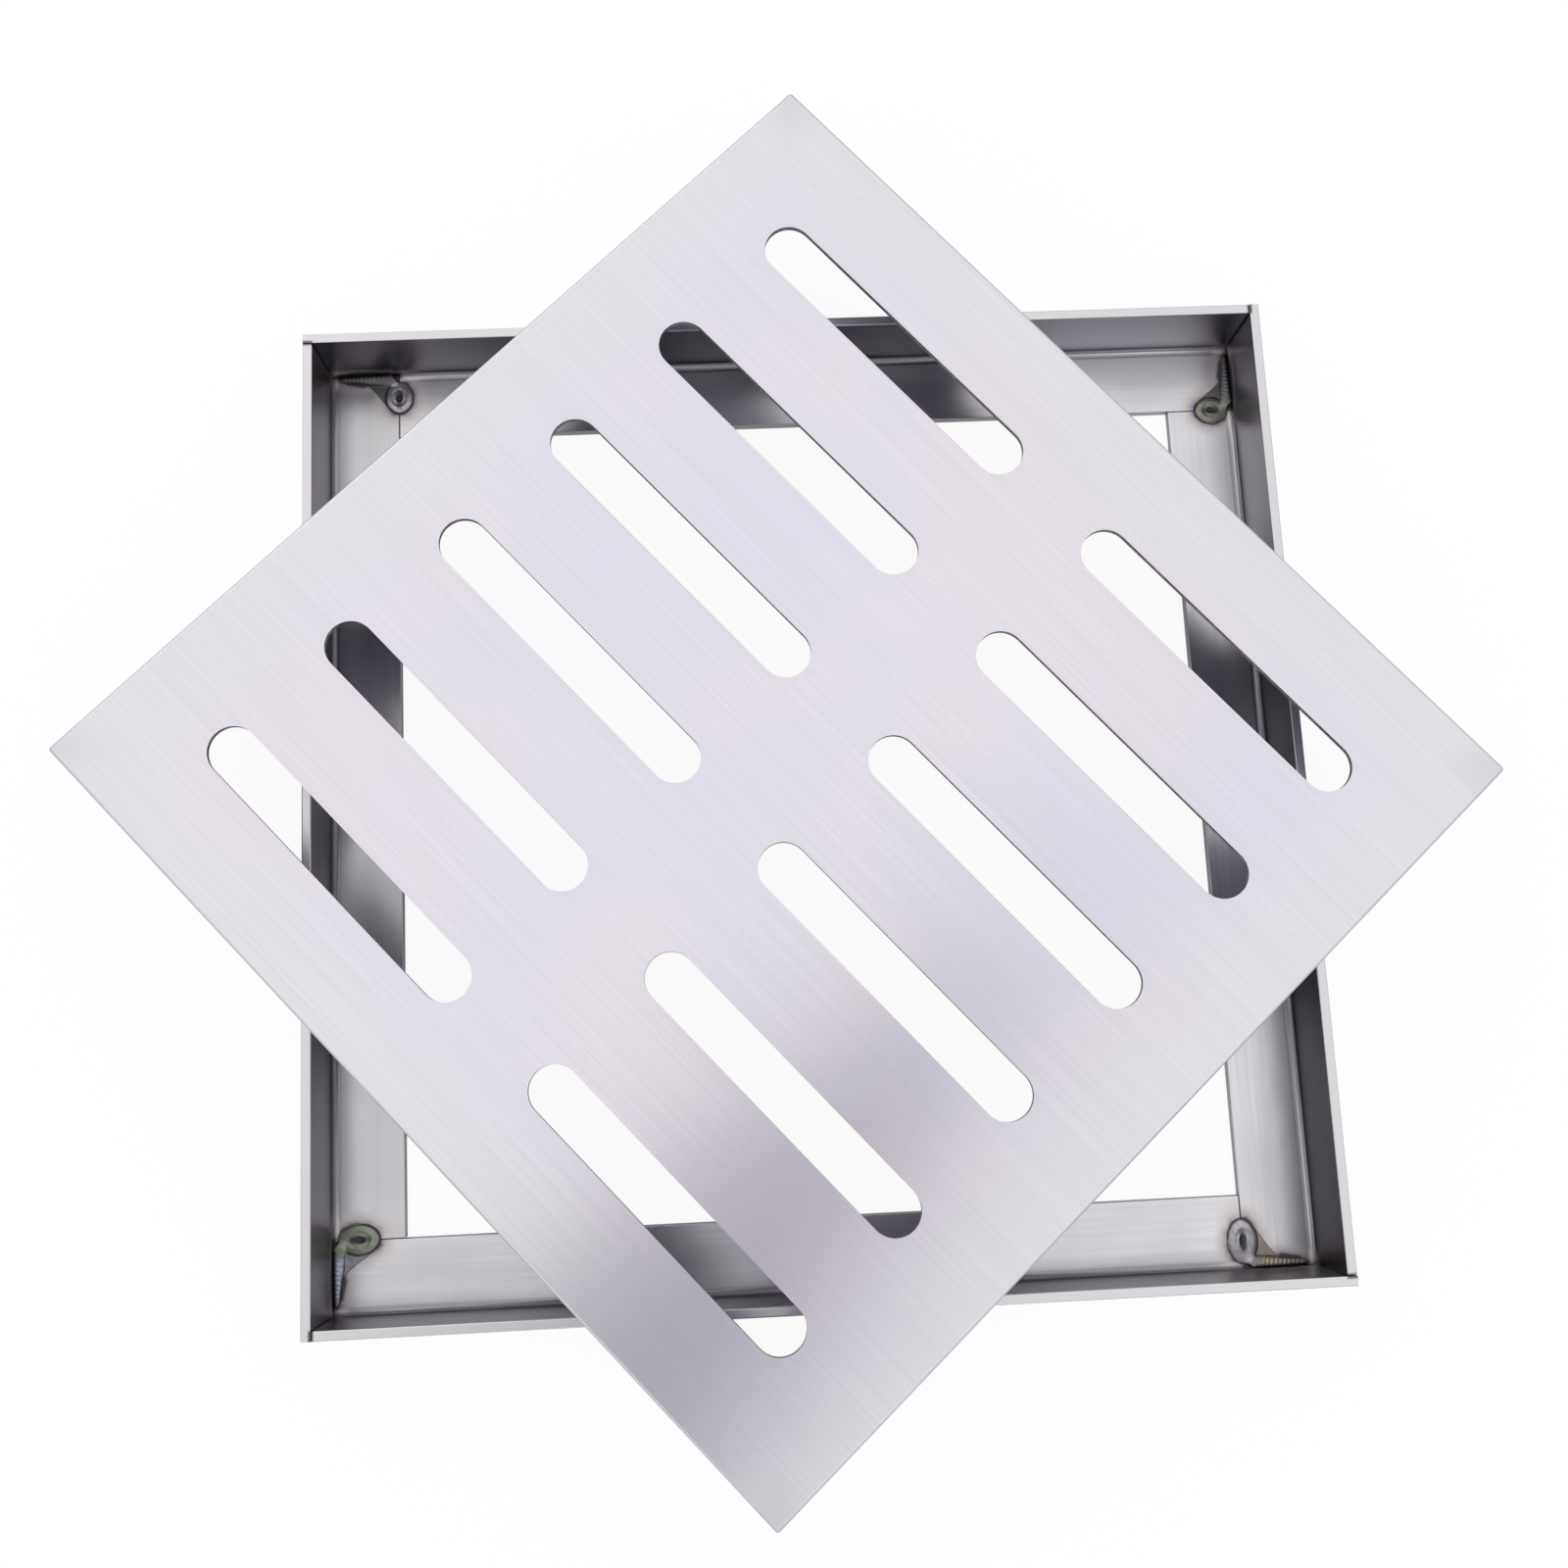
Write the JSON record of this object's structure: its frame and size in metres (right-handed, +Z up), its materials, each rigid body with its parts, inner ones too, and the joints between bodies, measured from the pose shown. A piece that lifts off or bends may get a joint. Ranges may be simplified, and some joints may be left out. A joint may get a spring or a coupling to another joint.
{
  "type": "square drain cover",
  "caption": "Square slotted steel drain cover, a folded tray laid turned on the rim of the welded angle frame that it drops into.",
  "frame": {"origin": "middle of the frame, on the ground that it stands on", "axes": "+Z up, +X along the cover's slots, +Y across them; the frame is turned 48.2 degrees about Z"},
  "size_m": [0.4364, 0.4364, 0.057],
  "materials": {
    "cover_steel": "satin",
    "frame_steel": "mill satin",
    "weld_metal": "as welded, heat tinted"
  },
  "bodies": {
    "root": {"cover": "cover_steel", "frame_bar_1": "frame_steel", "frame_bar_2": "frame_steel", "frame_bar_3": "frame_steel", "frame_bar_4": "frame_steel", "corner_weld_1": "weld_metal", "corner_weld_2": "weld_metal", "corner_weld_3": "weld_metal", "corner_weld_4": "weld_metal"}
  },
  "joints": []
}
